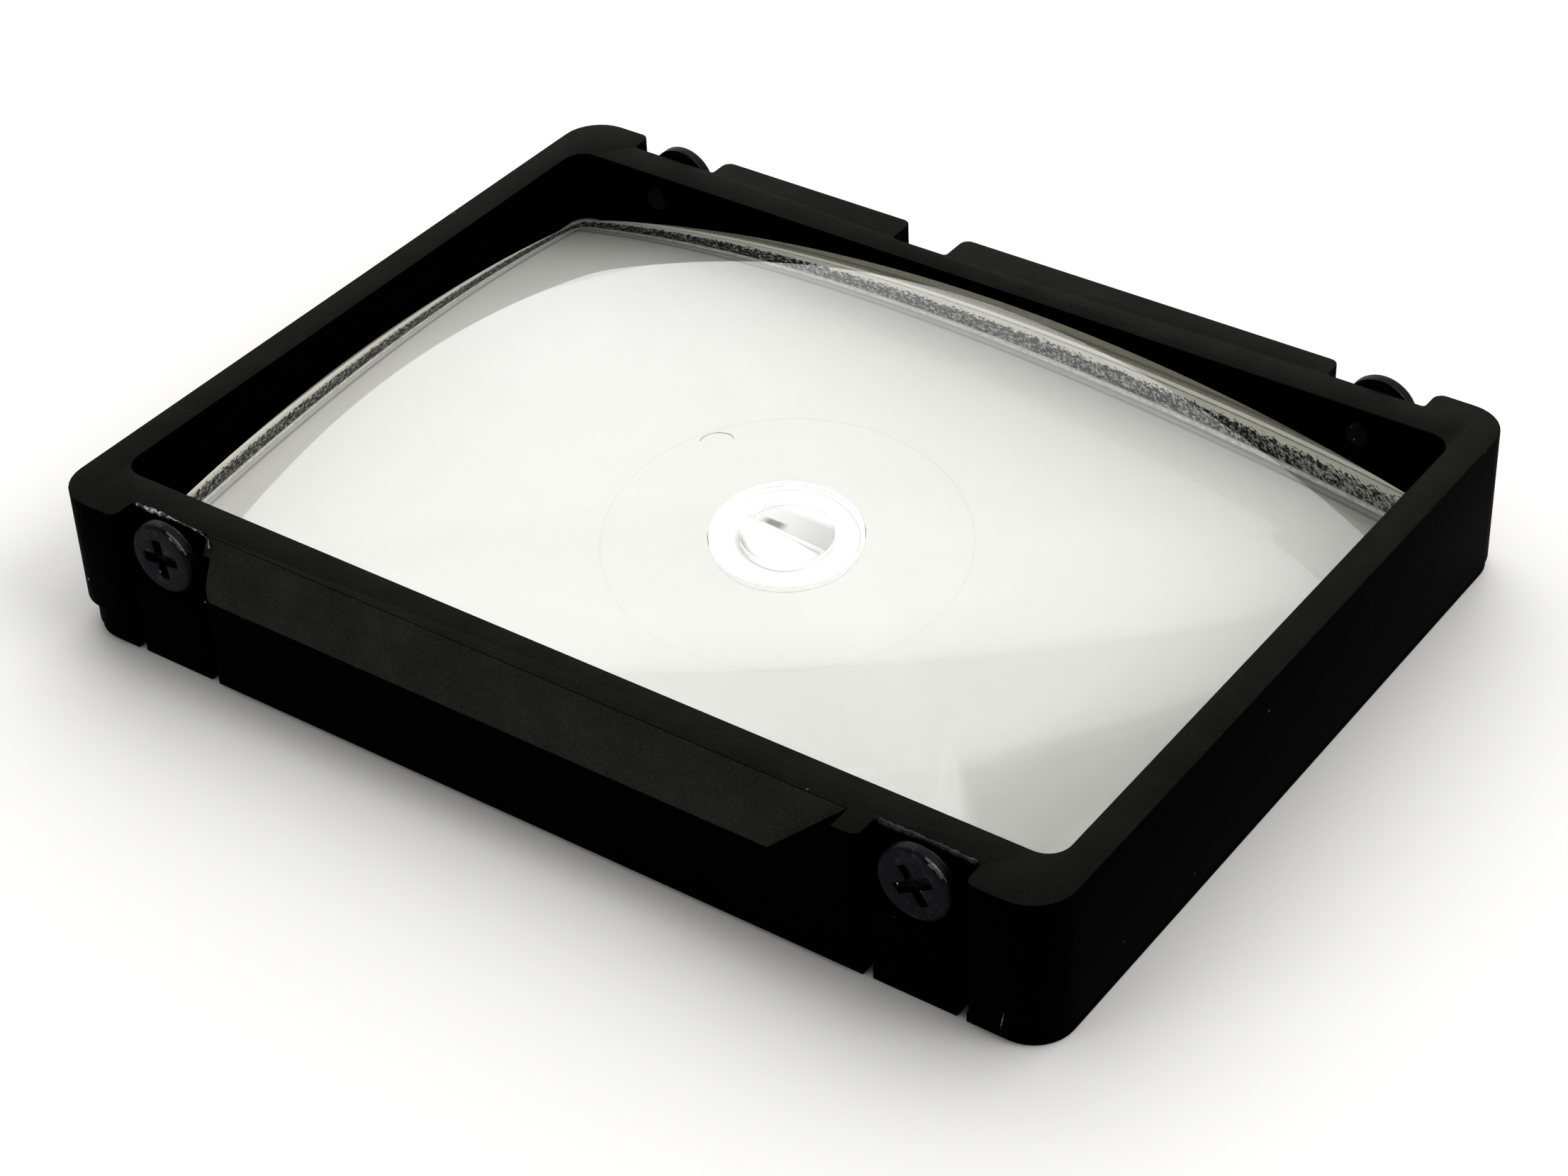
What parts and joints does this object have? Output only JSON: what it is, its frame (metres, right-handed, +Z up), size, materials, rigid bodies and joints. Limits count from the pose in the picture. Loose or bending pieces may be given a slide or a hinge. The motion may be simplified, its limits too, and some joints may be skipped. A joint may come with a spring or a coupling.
{
  "type": "camera focusing screen",
  "caption": "Framed focusing screen for a reflex camera: domed condenser lens over a matte plate with a central split-image spot, held by a screwed retaining plate.",
  "frame": {"origin": "centre of the bottom face, the face of the retaining plate that rests on the camera's seat", "axes": "+X along the long side, +Y towards the side with the key slot, +Z up out of the lens"},
  "size_m": [0.039, 0.0294, 0.0063],
  "materials": {
    "black_paint": "matte black paint with fine grain",
    "lens_glass": "clear polished glass, ground edges",
    "matte_acrylic": "fine ground matte field",
    "prism_acrylic": "clear moulded prisms",
    "black_screw": "blackened steel with a slight sheen"
  },
  "bodies": {
    "root": {"frame_body": "black_paint", "retaining_plate": "black_paint", "spacer_frame": "black_paint", "condenser_lens": "lens_glass", "screen_plate": "matte_acrylic", "microprism_collar": "prism_acrylic", "split_wedge_back": "prism_acrylic", "split_wedge_front": "prism_acrylic", "screw_front_left": "black_screw", "screw_front_right": "black_screw", "screw_back_left": "black_screw", "screw_back_right": "black_screw"}
  },
  "joints": []
}
